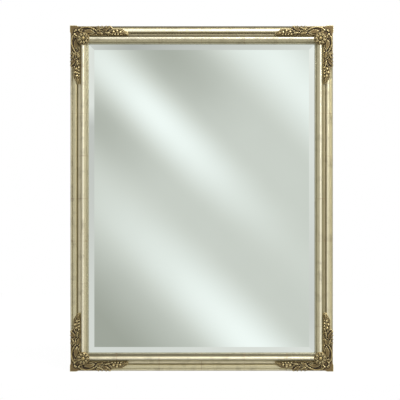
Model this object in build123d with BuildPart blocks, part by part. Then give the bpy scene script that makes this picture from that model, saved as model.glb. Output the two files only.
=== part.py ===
from build123d import *
import os

# Recessed medicine cabinet with a framed mirror door.
# Millimetres. X is to the viewer's right, Y goes into the wall, Z is up.
# The wall's face is y = 0 and the origin is the centre of the opening in the wall.

# Door, over the outer edges of its moulding
door_width = 508.0
door_height = 667.0
door_gap = 3.0

# Moulding section, from the outer side inwards: how far each member goes across and up,
# and how far its curve bulges from a straight line (a hollow is negative)
side_straight = 4.2
side_height = 8.2
side_lean = 1.2
bead_across = 3.6
bead_up = 0.4
bead_bulge = 1.3
quirk_across = 0.8
quirk_up = -0.2
torus_across = 8.0
torus_up = 5.0
torus_bulge = 3.6
groove_side_across = 0.9
groove_depth = 2.8
groove_floor = 0.8
groove_rise = 2.4
fillet_lean = 0.4
fillet_across = 1.3
fillet_up = 0.2
cove_across = 5.6
cove_up = 7.2
cove_bulge = -1.9
crest_across = 6.0
crest_up = 1.2
crest_bulge = 2.3
slope_across = 4.8
slope_up = -5.8
slope_bulge = 0.8
sight_quirk_across = 0.4
sight_quirk_up = -1.1
lip_across = 1.7
lip_up = -0.3
lip_bulge = 0.25

# Rebate behind the sight edge, and the stack that lies in it
rebate_width = 4.5
rebate_depth = 12.0
glass_side_gap = 1.0
glass_seat_gap = 0.3
mirror_thickness = 4.0
bevel_width = 15.0
bevel_drop = 1.7
tape_thickness = 1.0
tape_width = 20.0
tape_length = 560.0
tape_pitch = 180.0
board_thickness = 3.0
inner_mirror_thickness = 3.0

# Corner ornaments: a plate on the outer members, a shell boss on the mitre and raised work
plate_top = 16.2
plate_foot = 9.0
plate_width = 19.5
plate_inset = 1.6
corner_flush = 12.0
corner_ease = 17.0
arm_full = 70.0
arm_flare = 78.0
flare_inset = 0.3
arm_step = 83.0
arm_neck = 101.0
arm_length = 113.0
neck_across = 6.5
tip_across = 14.5
boss_centre = 26.0
boss_radius = 12.5
boss_foot = 0.8
boss_top = 24.6
boss_edge = 1.6
petal_count = 9
petal_length = 8.0
petal_width = 6.4
petal_rise = 2.2
petal_reach = 3.6
dome_radius = 4.6
relief_taper = 24.0
leaf_foot = 1.0
leaf_rise = 1.6
tall_leaf_rise = 2.6
scroll_tube = 1.7
scroll_eye = 2.5
scroll_start = 17.5
scroll_start_across = 9.2
scroll_crown = 29.0
scroll_crown_across = 3.6
scroll_end = 46.0
scroll_end_across = 7.6
berry_radius = 2.0
berry_pitch = 5.6
blossom_radius = 2.9
blossom_pitch = 6.6
corner_berry_along = 9.6
corner_berry_across = 10.6
berry_row_start = 81.5
berry_row_across = 17.2
berry_row_count = 4
blossom_start = 84.0
blossoms_across = [12.4, 10.2, 13.4]

# Leaves on each arm: place along the arm and across from the outer edge, length, width,
# turn towards the glass in degrees, and height above the plate
arm_leaves = [
    (37.0, 11.6, 22.0, 9.0, 4.0, leaf_rise),
    (57.0, 7.0, 14.0, 6.4, -14.0, tall_leaf_rise),
    (57.5, 15.0, 15.0, 6.0, 6.0, leaf_rise),
    (70.0, 7.4, 17.0, 6.6, -20.0, leaf_rise),
    (72.5, 14.6, 15.0, 6.0, 10.0, tall_leaf_rise),
    (104.0, 15.2, 15.0, 5.4, 10.0, leaf_rise),
]

# Case of folded sheet steel; the flange is hemmed, so it is twice the sheet.
# The door laps the outer faces of the case all round.
sheet = 1.2
door_lap_side = 20.8
door_lap_end = 21.3
case_depth = 92.0
flange_reach = 16.0
rear_lip = 12.0
tab_length = 14.0
back_gap = 0.5

# Holes for the screws into the studs
stud_hole_diameter = 5.0
stud_hole_front = 25.0
stud_hole_spacing_y = 40.0
stud_hole_spacing_z = 540.0

# Shelf holes, pegs and shelves
peg_pitch = 32.0
peg_holes_each_way = 7
peg_hole_diameter = 5.0
peg_front = 28.0
peg_back = 74.0
peg_fit = 0.1
peg_tail = 4.0
peg_collar_diameter = 8.0
peg_collar = 1.2
peg_pin_diameter = 5.4
peg_pin = 8.8
peg_flat = 2.0
shelf_step = 5
shelf_thickness = 5.0
shelf_depth = 74.0
shelf_front = 14.0
shelf_side_gap = 1.6
shelf_corner = 4.0
shelf_arris = 0.6

# Continuous hinge along the left side
barrel_diameter = 6.4
barrel_inset = 2.7
hinge_length = 600.0
knuckle_pairs = 12
knuckle_gap = 0.3
leaf_width = 15.0
leaf_thickness = 1.5
leaf_notch_gap = 0.5
pin_diameter = 3.2
pin_fit = 0.05
pin_head_diameter = 5.2
pin_head = 0.8
hinge_seat_gap = 1.0
barrel_relief = 0.5
hinge_screw_pitch = 90.0
hinge_screw_count = 7
hinge_screw_inset = 8.5

# Fasteners
rivet_diameter = 3.2
rivet_head_diameter = 6.0
rivet_head = 1.0
rivet_tail_diameter = 4.8
rivet_tail = 0.8
rivet_dimple = 1.2
screw_diameter = 3.0
screw_head_diameter = 5.6
screw_head = 1.4
screw_length = 8.5
screw_point = 2.0
screw_fit = 0.1
slot_width = 0.7
slot_depth = 0.5
pan_head_diameter = 5.6
pan_head = 1.4

# Flat braces across the backs of the mitres
brace_leg = 70.0
brace_width = 11.0
brace_thickness = 1.5
brace_edge = 0.8
brace_screw_first = 30.0
brace_screw_second = 55.0

# Offset clips that hold the stack in the rebate
clip_width = 14.0
clip_thickness = 1.2
clip_pad = 9.0
clip_tongue = 6.0
clip_wall_gap = 0.3
clip_screw_inset = 4.5
clip_pitch_side = 190.0
clip_pitch_end = 220.0

# Magnetic catch on the right wall, and its strike plate on the door
catch_height = 80.0
catch_length = 40.0
catch_width = 14.0
catch_body_depth = 15.0
catch_setback = 1.5
catch_edge = 1.0
catch_screw_spacing = 30.0
catch_screw_depth = 6.5
catch_screw_length = 18.0
magnet_thickness = 5.0
magnet_height = 18.0
magnet_depth = 11.0
magnet_recess = 0.8
pole_thickness = 1.5
strike_air = 0.3
strike_length = 42.0
strike_width = 13.0
strike_thickness = 1.5
strike_edge_gap = 0.5
strike_screw_spacing = 30.0
strike_screw_inset = 4.0

# Rubber bumpers on the flange's free side
bumper_diameter = 9.0
bumper_air = 0.3
bumper_height = 285.0
bumper_dome = 0.6

# Sizes worked out from those above
front_members = [
    (bead_across, bead_up, bead_bulge),
    (quirk_across, quirk_up, 0),
    (torus_across, torus_up, torus_bulge),
    (groove_side_across, -groove_depth, 0),
    (groove_floor, 0, 0),
    (fillet_lean, groove_rise, 0),
    (fillet_across, fillet_up, 0),
    (cove_across, cove_up, cove_bulge),
    (crest_across, crest_up, crest_bulge),
    (slope_across, slope_up, slope_bulge),
    (sight_quirk_across, sight_quirk_up, 0),
    (lip_across, lip_up, lip_bulge),
]
rail_face = side_lean + sum(member[0] for member in front_members)
rebate_edge = rail_face - rebate_width

half_door_x = door_width / 2
half_door_z = door_height / 2
half_case_x = half_door_x - door_lap_side
half_case_z = half_door_z - door_lap_end
inner_x = half_case_x - sheet
inner_z = half_case_z - sheet
flange_thickness = 2 * sheet
barrel_radius = barrel_diameter / 2
door_back = -(flange_thickness + door_gap)
axis_x = -half_door_x + barrel_inset
axis_y = -(flange_thickness + barrel_radius)
leaf_seat = axis_y - barrel_radius
hinge_rebate = barrel_inset + leaf_width + hinge_seat_gap

bevel_under_lip = rebate_width - glass_side_gap
mirror_front = rebate_depth - glass_seat_gap + bevel_drop * (1 - bevel_under_lip / bevel_width)
mirror_back = mirror_front - mirror_thickness
board_front = mirror_back - tape_thickness
board_back = board_front - board_thickness
inner_mirror_back = board_back - inner_mirror_thickness
stack_x = half_door_x - rebate_edge - glass_side_gap
stack_z = half_door_z - rebate_edge - glass_side_gap

back_panel_rear = case_depth - sheet
back_panel_front = back_panel_rear - sheet
strike_back = door_back + strike_thickness
catch_x = inner_x - catch_width / 2
catch_front = -catch_setback
rivet_shank = rivet_diameter / 2
lip_middle = rear_lip / 2
stud_hole_middle = stud_hole_front + stud_hole_spacing_y / 2


def block(low, high, mode=Mode.ADD):
    """Add a straight-sided block between two opposite corners to the open part."""
    size = [abs(b - a) for a, b in zip(low, high)]
    centre = [(a + b) / 2 for a, b in zip(low, high)]
    with Locations(tuple(centre)):
        Box(*size, mode=mode)


def keep(piece, name):
    """Name a finished piece and write its file."""
    piece.part.label = name
    export_step(piece.part, f"parts/{name}.step")


def group_of(piece, places):
    """Set copies of one small piece at each place, as separate solids of one group."""
    with BuildPart() as group:
        with Locations(*places):
            add(piece.part)
    return group


# Fasteners, each standing on its head's top face with its shank down -Z
def turned(points):
    """Turn a solid from half its section, given as radius and height."""
    with BuildPart() as piece:
        with BuildSketch(Plane.XZ):
            with BuildLine():
                Polyline(*points, close=True)
            make_face()
        revolve(axis=Axis.Z)
    return piece


def countersunk_screw(length):
    """A slotted wood screw whose head lies flush."""
    shank = screw_diameter / 2
    screw = turned([
        (0, 0),
        (screw_head_diameter / 2, 0),
        (shank, -screw_head),
        (shank, -(length - screw_point)),
        (0, -length),
    ])
    with screw:
        block((-screw_head_diameter, -slot_width / 2, -slot_depth), (screw_head_diameter, slot_width / 2, 1),
              Mode.SUBTRACT)
    return screw


def pan_screw(length):
    """A slotted screw whose head stands on the surface; z = 0 is under the head."""
    shank = screw_diameter / 2
    head = pan_head_diameter / 2
    screw = turned([
        (0, pan_head),
        (head - slot_depth, pan_head),
        (head, pan_head - slot_depth),
        (head, 0),
        (shank, 0),
        (shank, -(length - screw_point)),
        (0, -length),
    ])
    with screw:
        block((-head - 1, -slot_width / 2, pan_head - slot_depth), (head + 1, slot_width / 2, pan_head + 1),
              Mode.SUBTRACT)
    return screw


def sheet_rivet():
    """A blind rivet through two sheets; z = 0 is under its head."""
    head = rivet_head_diameter / 2
    tail = rivet_tail_diameter / 2
    grip = 2 * sheet
    return turned([
        (0, rivet_head),
        (head - rivet_head, rivet_head),
        (head, 0),
        (rivet_shank, 0),
        (rivet_shank, -grip),
        (tail, -grip),
        (tail, -(grip + rivet_tail)),
        (0, -(grip + rivet_tail)),
    ])


def hinge_rivet():
    """A rivet through the leaf and the flange, flush on the leaf and flush behind the flange."""
    head = rivet_shank + rivet_dimple
    length = leaf_thickness + flange_thickness
    return turned([
        (0, 0),
        (head, 0),
        (rivet_shank, -rivet_dimple),
        (rivet_shank, -(length - rivet_dimple)),
        (head, -length),
        (0, -length),
    ])


# Case
def side_faces(side):
    """The inner and outer faces of one side wall; side is -1 for left and 1 for right."""
    return side * inner_x, side * half_case_x


def rear_rivet_places():
    """Where the rivets go through the rear lips and the back panel."""
    side_x = inner_x - lip_middle
    end_z = inner_z - lip_middle
    side_z = [k * peg_pitch * 2.5 for k in (-3, -1, 1, 3)]
    end_x = [k * inner_x / 2 for k in (-1, 0, 1)]
    upright = [(s * side_x, z) for s in (-1, 1) for z in side_z]
    level = [(x, s * end_z) for s in (-1, 1) for x in end_x]
    return upright, level


def corner_rivet_places():
    """Where the end tabs are riveted to the side walls, as depth and height."""
    height = half_case_z - sheet - tab_length / 2
    return [(y, s * height) for y in (stud_hole_front, peg_back) for s in (-1, 1)]


def hinge_rivet_heights():
    """The heights of the fasteners along the hinge."""
    middle = (hinge_screw_count - 1) / 2
    return [(k - middle) * hinge_screw_pitch for k in range(hinge_screw_count)]


def peg_hole_heights():
    """The heights of the shelf holes."""
    return [k * peg_pitch for k in range(-peg_holes_each_way, peg_holes_each_way + 1)]


def side_panel(side):
    """A side wall with its front flange turned out and its rear lip turned in."""
    inner, outer = side_faces(side)
    flange_edge = side * (half_case_x + flange_reach)
    lip_edge = side * (inner_x - rear_lip)
    flange_end = half_case_z + flange_reach
    with BuildPart() as panel:
        block((inner, 0, -inner_z), (outer, case_depth, inner_z))
        with BuildSketch(Plane.XZ):
            with BuildLine():
                Polyline((inner, inner_z), (flange_edge, flange_end), (flange_edge, -flange_end),
                         (inner, -inner_z), close=True)
            make_face()
        extrude(amount=flange_thickness)
        with BuildSketch(Plane.XZ.offset(-case_depth)):
            with BuildLine():
                Polyline((inner, inner_z), (lip_edge, inner_z - rear_lip), (lip_edge, -inner_z + rear_lip),
                         (inner, -inner_z), close=True)
            make_face()
        extrude(amount=sheet)
        with BuildSketch(Plane.YZ.offset(side * (inner_x + sheet / 2))):
            with Locations((stud_hole_middle, 0)):
                with GridLocations(stud_hole_spacing_y, stud_hole_spacing_z, 2, 2):
                    Circle(stud_hole_diameter / 2)
            with Locations(*[(y, z) for y in (peg_front, peg_back) for z in peg_hole_heights()]):
                Circle(peg_hole_diameter / 2)
            with Locations(*corner_rivet_places()):
                Circle(rivet_shank)
        extrude(amount=sheet, both=True, mode=Mode.SUBTRACT)
        upright, _ = rear_rivet_places()
        with BuildSketch(Plane.XZ.offset(-case_depth)):
            with Locations(*[place for place in upright if place[0] * side > 0]):
                Circle(rivet_shank)
        extrude(amount=sheet, mode=Mode.SUBTRACT)
        if side < 0:
            rivet = hinge_rivet()
            with Locations(*hinge_rivet_locations()):
                add(rivet.part, mode=Mode.SUBTRACT)
        else:
            with BuildSketch(Plane.YZ.offset(inner_x + sheet / 2)):
                with Locations(*catch_screw_places()):
                    Circle(screw_diameter / 2 + screw_fit / 2)
            extrude(amount=sheet, both=True, mode=Mode.SUBTRACT)
    return panel


def end_panel(end):
    """The top or bottom of the case, with tabs that lap the side walls; end is 1 for the top."""
    inner = end * inner_z
    outer = end * half_case_z
    flange_edge = end * (half_case_z + flange_reach)
    flange_end = half_case_x + flange_reach
    lip_edge = end * (inner_z - rear_lip)
    tab_edge = end * (half_case_z - sheet - tab_length)
    tab_outer = half_case_x + sheet
    with BuildPart() as panel:
        block((-tab_outer, 0, inner), (tab_outer, case_depth, outer))
        for side in (-1, 1):
            block((side * half_case_x, 0, tab_edge), (side * tab_outer, case_depth, outer))
        with BuildSketch(Plane.XZ):
            with BuildLine():
                Polyline((inner_x, inner), (flange_end, flange_edge), (-flange_end, flange_edge),
                         (-inner_x, inner), close=True)
            make_face()
        extrude(amount=flange_thickness)
        with BuildSketch(Plane.XZ.offset(-case_depth)):
            with BuildLine():
                Polyline((inner_x, inner), (inner_x - rear_lip, lip_edge), (-inner_x + rear_lip, lip_edge),
                         (-inner_x, inner), close=True)
            make_face()
        extrude(amount=sheet)
        with BuildSketch(Plane.YZ):
            with Locations(*[place for place in corner_rivet_places() if place[1] * end > 0]):
                Circle(rivet_shank)
        extrude(amount=tab_outer, both=True, mode=Mode.SUBTRACT)
        _, level = rear_rivet_places()
        with BuildSketch(Plane.XZ.offset(-case_depth)):
            with Locations(*[place for place in level if place[1] * end > 0]):
                Circle(rivet_shank)
        extrude(amount=sheet, mode=Mode.SUBTRACT)
    return panel


def back_panel():
    """The back sheet, laid in from the front against the rear lips."""
    upright, level = rear_rivet_places()
    with BuildPart() as panel:
        with BuildSketch(Plane.XZ.offset(-back_panel_rear)):
            Rectangle(2 * (inner_x - back_gap), 2 * (inner_z - back_gap))
            with Locations(*(upright + level)):
                Circle(rivet_shank, mode=Mode.SUBTRACT)
        extrude(amount=sheet)
    return panel


def back_rivets():
    """The rivets round the back panel, with their heads inside the case."""
    upright, level = rear_rivet_places()
    places = [Location((x, back_panel_front, z), (90, 0, 0)) for x, z in upright + level]
    return group_of(sheet_rivet(), places)


def corner_rivets():
    """The rivets through the end tabs and side walls, with their heads inside the case."""
    places = []
    for side in (-1, 1):
        for y, z in corner_rivet_places():
            places.append(Location((side * inner_x, y, z), (0, -side * 90, 0)))
    return group_of(sheet_rivet(), places)


# Shelves
def shelf_undersides():
    """The heights on which the shelves lie, on the flats of their pegs."""
    return [k * shelf_step * peg_pitch + peg_flat for k in (-1, 0, 1)]


def shelf(underside):
    """A glass shelf with rounded front corners and ground edges."""
    half_width = inner_x - shelf_side_gap
    with BuildPart() as plate:
        block((-half_width, shelf_front, underside),
              (half_width, shelf_front + shelf_depth, underside + shelf_thickness))
        fillet(plate.edges().filter_by(Axis.Z).group_by(Axis.Y)[0], radius=shelf_corner)
        chamfer(plate.faces().filter_by(Axis.Z).edges(), length=shelf_arris)
    return plate


def shelf_peg():
    """A peg with a flat on its pin; it points along +X from the wall's inner face at x = 0."""
    with BuildPart() as peg:
        with BuildSketch(Plane.YZ):
            Circle(peg_hole_diameter / 2 - peg_fit / 2)
        extrude(amount=-(sheet + peg_tail))
        with BuildSketch(Plane.YZ):
            Circle(peg_collar_diameter / 2)
        extrude(amount=peg_collar)
        with BuildSketch(Plane.YZ.offset(peg_collar)):
            Circle(peg_pin_diameter / 2)
        extrude(amount=peg_pin)
        reach = peg_collar + peg_pin
        block((peg_collar, -peg_pin_diameter, peg_flat), (reach, peg_pin_diameter, peg_pin_diameter),
              Mode.SUBTRACT)
    return peg


def shelf_pegs(side):
    """The pegs that carry the shelves on one side wall."""
    turn = 180 if side > 0 else 0
    places = []
    for underside in shelf_undersides():
        for y in (peg_front, peg_back):
            places.append(Location((side * inner_x, y, underside - peg_flat), (0, 0, turn)))
    return group_of(shelf_peg(), places)


# Hinge
def hinge_rivet_locations():
    """Where the hinge's rivets start, on the front of the case leaf."""
    front = -(flange_thickness + leaf_thickness)
    return [Location((axis_x + hinge_screw_inset, front, z), (90, 0, 0)) for z in hinge_rivet_heights()]


def hinge_screw_locations():
    """Where the hinge's wood screws start, on the back of the door leaf."""
    back = leaf_seat + leaf_thickness
    return [Location((axis_x + hinge_screw_inset, back, z), (-90, 0, 0)) for z in hinge_rivet_heights()]


def hinge_leaf(first, leaf_low, leaf_high):
    """One leaf with every second knuckle; first is 0 or 1, and the leaf lies between two depths."""
    knuckle = hinge_length / (2 * knuckle_pairs)
    notch = barrel_radius + leaf_notch_gap
    bore = pin_diameter / 2 + pin_fit
    with BuildPart() as leaf:
        block((axis_x + notch, leaf_low, -hinge_length / 2),
              (axis_x + leaf_width, leaf_high, hinge_length / 2))
        for pair in range(knuckle_pairs):
            low = -hinge_length / 2 + (2 * pair + first) * knuckle + knuckle_gap / 2
            high = low + knuckle - knuckle_gap
            block((axis_x, leaf_low, low), (axis_x + notch, leaf_high, high))
            with BuildSketch(Plane.XY.offset(low)):
                with Locations((axis_x, axis_y)):
                    Circle(barrel_radius)
            extrude(amount=high - low)
        with BuildSketch(Plane.XY.offset(-hinge_length / 2)):
            with Locations((axis_x, axis_y)):
                Circle(bore)
        extrude(amount=hinge_length, mode=Mode.SUBTRACT)
    return leaf


def case_leaf():
    """The leaf riveted to the flange."""
    leaf = hinge_leaf(0, -(flange_thickness + leaf_thickness), -flange_thickness)
    rivet = hinge_rivet()
    with leaf:
        with Locations(*hinge_rivet_locations()):
            add(rivet.part, mode=Mode.SUBTRACT)
    return leaf


def door_leaf():
    """The leaf screwed to the back of the left stile."""
    leaf = hinge_leaf(1, leaf_seat, leaf_seat + leaf_thickness)
    screw = countersunk_screw(screw_length)
    with leaf:
        with Locations(*hinge_screw_locations()):
            add(screw.part, mode=Mode.SUBTRACT)
            Cylinder(screw_head_diameter / 2, 2 * slot_depth, mode=Mode.SUBTRACT)
    return leaf


def hinge_pin():
    """The pin through all the knuckles, with a small head at each end."""
    with BuildPart() as pin:
        with BuildSketch(Plane.XY.offset(-hinge_length / 2)):
            with Locations((axis_x, axis_y)):
                Circle(pin_diameter / 2)
        extrude(amount=hinge_length)
        for end in (-1, 1):
            with BuildSketch(Plane.XY.offset(end * hinge_length / 2)):
                with Locations((axis_x, axis_y)):
                    Circle(pin_head_diameter / 2)
            extrude(amount=end * pin_head)
    return pin


# Door frame
def moulding_outline():
    """The moulding's section: x goes inwards from the outer side and y forwards from the back."""
    with BuildLine() as outline:
        Polyline((rebate_edge, 0), (0, 0), (0, side_straight), (side_lean, side_height))
        point = (side_lean, side_height)
        for across, up, bulge in front_members:
            following = (point[0] + across, point[1] + up)
            if bulge:
                SagittaArc(point, following, bulge)
            else:
                Line(point, following)
            point = following
        Polyline(point, (rail_face, rebate_depth), (rebate_edge, rebate_depth), (rebate_edge, 0))
    return outline


def mitred_rail(section_plane, half_length, mitres):
    """Run the moulding along one side of the door and cut both of its ends to a mitre."""
    with BuildPart() as rail:
        with BuildSketch(section_plane):
            make_face(moulding_outline().edges())
        extrude(amount=half_length, both=True)
        for mitre in mitres:
            split(bisect_by=mitre, keep=Keep.BOTTOM)
    return rail


def plain_stile(side):
    """The upright moulding on one side, before anything is cut into its back."""
    section_plane = Plane(origin=(side * half_door_x, door_back, 0), x_dir=(-side, 0, 0), z_dir=(0, 0, side))
    mitres = [
        Plane(origin=(side * half_door_x, 0, end * half_door_z), z_dir=(-side, 0, end))
        for end in (-1, 1)
    ]
    return mitred_rail(section_plane, half_door_z, mitres)


def plain_rail(end):
    """The level moulding at the top or bottom, before it is drilled."""
    section_plane = Plane(origin=(0, door_back, end * half_door_z), x_dir=(0, 0, -end), z_dir=(-end, 0, 0))
    mitres = [
        Plane(origin=(side * half_door_x, 0, end * half_door_z), z_dir=(side, 0, -end))
        for side in (-1, 1)
    ]
    return mitred_rail(section_plane, half_door_x, mitres)


def stile(side):
    """An upright moulding with its hinge rebate and screw holes."""
    rail = plain_stile(side)
    with rail:
        if side < 0:
            top = hinge_length / 2 + hinge_seat_gap
            block((-half_door_x - 1, leaf_seat, -top), (-half_door_x + hinge_rebate, door_back + 1, top),
                  Mode.SUBTRACT)
            relief = barrel_radius + barrel_relief
            block((-half_door_x - 1, axis_y - relief, -top), (axis_x + relief, door_back + 1, top),
                  Mode.SUBTRACT)
            drill(hinge_screw_locations())
        else:
            drill(strike_screw_locations())
        drill([place for place in brace_screw_locations() if place.position.X * side > rail_zone_x(place)])
        drill([place for place in clip_screw_locations() if place.position.X * side > rail_zone_x(place)])
    return rail


def rail_zone_x(place):
    """How far out a screw must lie to be in a stile and not in a top or bottom rail."""
    return half_door_x - half_door_z + abs(place.position.Z)


def end_rail(end):
    """A level moulding with its screw holes."""
    rail = plain_rail(end)
    with rail:
        places = brace_screw_locations() + clip_screw_locations()
        drill([
            place for place in places
            if abs(place.position.X) < rail_zone_x(place) and place.position.Z * end > 0
        ])
    return rail


def drill(places):
    """Drill pilot holes for wood screws; each place has its screw going down its own -Z."""
    depth = screw_length + screw_fit
    with Locations(*places):
        Cylinder(screw_diameter / 2 + screw_fit / 2, 2 * depth, mode=Mode.SUBTRACT)


# Corner ornaments, drawn at the top left corner: along an arm, and across from the outer edge
def corner_plane(height):
    """The plane at a height above the moulding's back, with its origin on the door's corner."""
    return Plane(origin=(-half_door_x, door_back - height, half_door_z), x_dir=(1, 0, 0), z_dir=(0, -1, 0))


def on_arm(arm, along, across):
    """A point on the level arm (0) or the upright arm (1), in the corner plane."""
    return (along, -across) if arm == 0 else (across, -along)


def raised_leaf(point, length, width, angle, foot, rise):
    """A leaf pointed at both ends, with sloping sides, centred on a point of the corner plane."""
    base = corner_plane(foot)
    direction = Vector(1, 0, 0).rotate(Axis.Z, angle)
    centre = base.from_local_coords(point)
    plane = Plane(origin=centre, x_dir=(direction.X, 0, direction.Y), z_dir=(0, -1, 0))
    with BuildPart() as piece:
        with BuildSketch(plane):
            with BuildLine():
                ThreePointArc((-length / 2, 0), (0, width / 2), (length / 2, 0))
                ThreePointArc((length / 2, 0), (0, -width / 2), (-length / 2, 0))
            make_face()
        extrude(amount=rise, taper=relief_taper)
    return piece.part


def arm_leaf(arm, along, across, length, width, turn, rise):
    """A leaf on an arm; turn is its angle from the arm's run towards the glass."""
    angle = -turn if arm == 0 else turn - 90
    foot = plate_top - leaf_foot
    return raised_leaf(on_arm(arm, along, across), length, width, angle, foot, rise + leaf_foot)


def bead(point, radius, height):
    """A round berry or blossom half sunk at a height of the corner plane."""
    base = corner_plane(height)
    with BuildPart() as ball:
        with Locations(Plane(origin=base.from_local_coords(point), x_dir=base.x_dir, z_dir=base.z_dir)):
            Sphere(radius)
    return ball.part


def scroll(arm):
    """The C scroll near the corner: a round tube with an eye at each end."""
    start = on_arm(arm, scroll_start, scroll_start_across)
    crown = on_arm(arm, scroll_crown, scroll_crown_across)
    finish = on_arm(arm, scroll_end, scroll_end_across)
    with BuildPart() as tube:
        with BuildLine(corner_plane(plate_top)) as path:
            ThreePointArc(start, crown, finish)
        with BuildSketch(Plane(origin=path.line @ 0, z_dir=path.line % 0)):
            Circle(scroll_tube)
        sweep(path=path.line)
    return [tube.part, bead(start, scroll_eye, plate_top), bead(finish, scroll_tube, plate_top)]


def foliage(arm):
    """The raised work along one arm, from the corner to the tip."""
    relief = scroll(arm)
    for leaf in arm_leaves:
        relief.append(arm_leaf(arm, *leaf))
    relief.append(bead(on_arm(arm, corner_berry_along, corner_berry_across), berry_radius, plate_top))
    for step, across in enumerate(blossoms_across):
        along = blossom_start + step * blossom_pitch
        relief.append(bead(on_arm(arm, along, across), blossom_radius, plate_top))
    for step in range(berry_row_count):
        along = berry_row_start + step * berry_pitch
        relief.append(bead(on_arm(arm, along, berry_row_across), berry_radius, plate_top))
    return relief


def shell_boss():
    """The petals and the round heart on top of the boss."""
    centre = Vector(boss_centre, -boss_centre)
    pieces = [bead(centre, dome_radius, boss_top)]
    for petal in range(petal_count):
        angle = petal * 360 / petal_count
        point = centre + Vector(petal_reach + petal_length / 2, 0).rotate(Axis.Z, angle)
        foot = boss_top - leaf_foot
        pieces.append(raised_leaf(point, petal_length, petal_width, angle, foot, petal_rise + leaf_foot))
    return pieces


def corner_ornament(stile_piece, rail_piece):
    """The cast ornament of the top left corner, hollowed behind to lie on the moulding."""
    relief = foliage(0) + foliage(1) + shell_boss()
    edge = [(corner_flush, 0), (corner_ease, plate_inset), (arm_full, plate_inset),
            (arm_flare, flare_inset), (arm_step, neck_across), (arm_neck, neck_across),
            (arm_length, tip_across), (arm_length, plate_width)]
    level_arm = [on_arm(0, *point) for point in edge]
    upright_arm = [on_arm(1, *point) for point in reversed(edge)]
    with BuildPart() as ornament:
        with BuildSketch(corner_plane(rebate_depth + boss_foot)):
            with Locations((boss_centre, -boss_centre)):
                Circle(boss_radius)
        extrude(amount=boss_top - rebate_depth - boss_foot)
        chamfer(ornament.edges().group_by(Axis.Y)[0], length=boss_edge)
        with BuildSketch(corner_plane(plate_foot)):
            with BuildLine():
                Polyline((0, 0), *level_arm, (plate_width, -plate_width), *upright_arm, close=True)
            make_face()
        extrude(amount=plate_top - plate_foot)
        add(relief)
        add(stile_piece.part, mode=Mode.SUBTRACT)
        add(rail_piece.part, mode=Mode.SUBTRACT)
    return ornament


def mirrored(piece, *planes):
    """The same piece, mirrored about one plane or two."""
    turned_over = piece.part
    for plane in planes:
        turned_over = mirror(turned_over, about=plane, mode=Mode.PRIVATE)
    with BuildPart() as other:
        add(turned_over)
    return other


# Stack in the rebate
def bevelled_mirror():
    """The door's mirror, with a wide ground bevel round its front face."""
    front = door_back - mirror_front
    with BuildPart() as glass:
        with BuildSketch(Plane.XZ.offset(-(door_back - mirror_back))):
            Rectangle(2 * stack_x, 2 * stack_z)
        extrude(amount=mirror_thickness - bevel_drop)
        with BuildSketch(Plane.XZ.offset(-(front + bevel_drop))):
            Rectangle(2 * stack_x, 2 * stack_z)
        with BuildSketch(Plane.XZ.offset(-front)):
            Rectangle(2 * (stack_x - bevel_width), 2 * (stack_z - bevel_width))
        loft()
    return glass


def flat_sheet(back, thickness):
    """A plain sheet that fills the rebate, by the height of its back and its thickness."""
    with BuildPart() as panel:
        with BuildSketch(Plane.XZ.offset(-(door_back - back))):
            Rectangle(2 * stack_x, 2 * stack_z)
        extrude(amount=thickness)
    return panel


def foam_tape():
    """Strips of foam tape between the mirror and its backing board."""
    with BuildPart() as tape:
        with BuildSketch(Plane.XZ.offset(-(door_back - board_front))):
            with GridLocations(tape_pitch, 1, 3, 1):
                Rectangle(tape_width, tape_length)
        extrude(amount=tape_thickness)
    return tape


# Braces and clips
def brace_inner_edge():
    """How far the braces' inner edges lie from the door's outer side."""
    return rebate_edge - brace_edge


def brace_corner_points():
    """The four corners on which the braces are set out, with their directions."""
    inset = brace_inner_edge() - brace_width
    return [(s * (half_door_x - inset), e * (half_door_z - inset), s, e) for s in (-1, 1) for e in (-1, 1)]


def brace_screw_locations():
    """Where the brace screws start, on the braces' rear faces."""
    face = door_back + brace_thickness
    places = []
    for x, z, s, e in brace_corner_points():
        for run in (brace_screw_first, brace_screw_second):
            places.append(Location((x - s * brace_width / 2, face, z - e * run), (-90, 0, 0)))
            places.append(Location((x - s * run, face, z - e * brace_width / 2), (-90, 0, 0)))
    return places


def corner_braces():
    """Four flat steel angles across the backs of the mitres, countersunk for their screws."""
    screw = countersunk_screw(screw_length)
    with BuildPart() as braces:
        for x, z, s, e in brace_corner_points():
            low = door_back
            high = door_back + brace_thickness
            block((x, low, z), (x - s * brace_width, high, z - e * brace_leg))
            block((x, low, z), (x - s * brace_leg, high, z - e * brace_width))
        with Locations(*brace_screw_locations()):
            add(screw.part, mode=Mode.SUBTRACT)
            Cylinder(screw_head_diameter / 2, 2 * slot_depth, mode=Mode.SUBTRACT)
    return braces


def clip_frames():
    """Where the clips stand: a point on the door's outer edge and the direction inwards."""
    frames = []
    for side in (-1, 1):
        for k in (-1, 0, 1):
            frames.append((side * half_door_x, k * clip_pitch_side, -side, 0))
    for end in (-1, 1):
        for k in (-0.5, 0.5):
            frames.append((k * clip_pitch_end, end * half_door_z, 0, -end))
    return frames


def clip_screw_locations():
    """Where the clip screws' heads sit, on the rear faces of the clips."""
    inset = rebate_edge - clip_screw_inset
    face = door_back + clip_thickness
    return [
        Location((x + dx * inset, face, z + dz * inset), (-90, 0, 0))
        for x, z, dx, dz in clip_frames()
    ]


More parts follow.
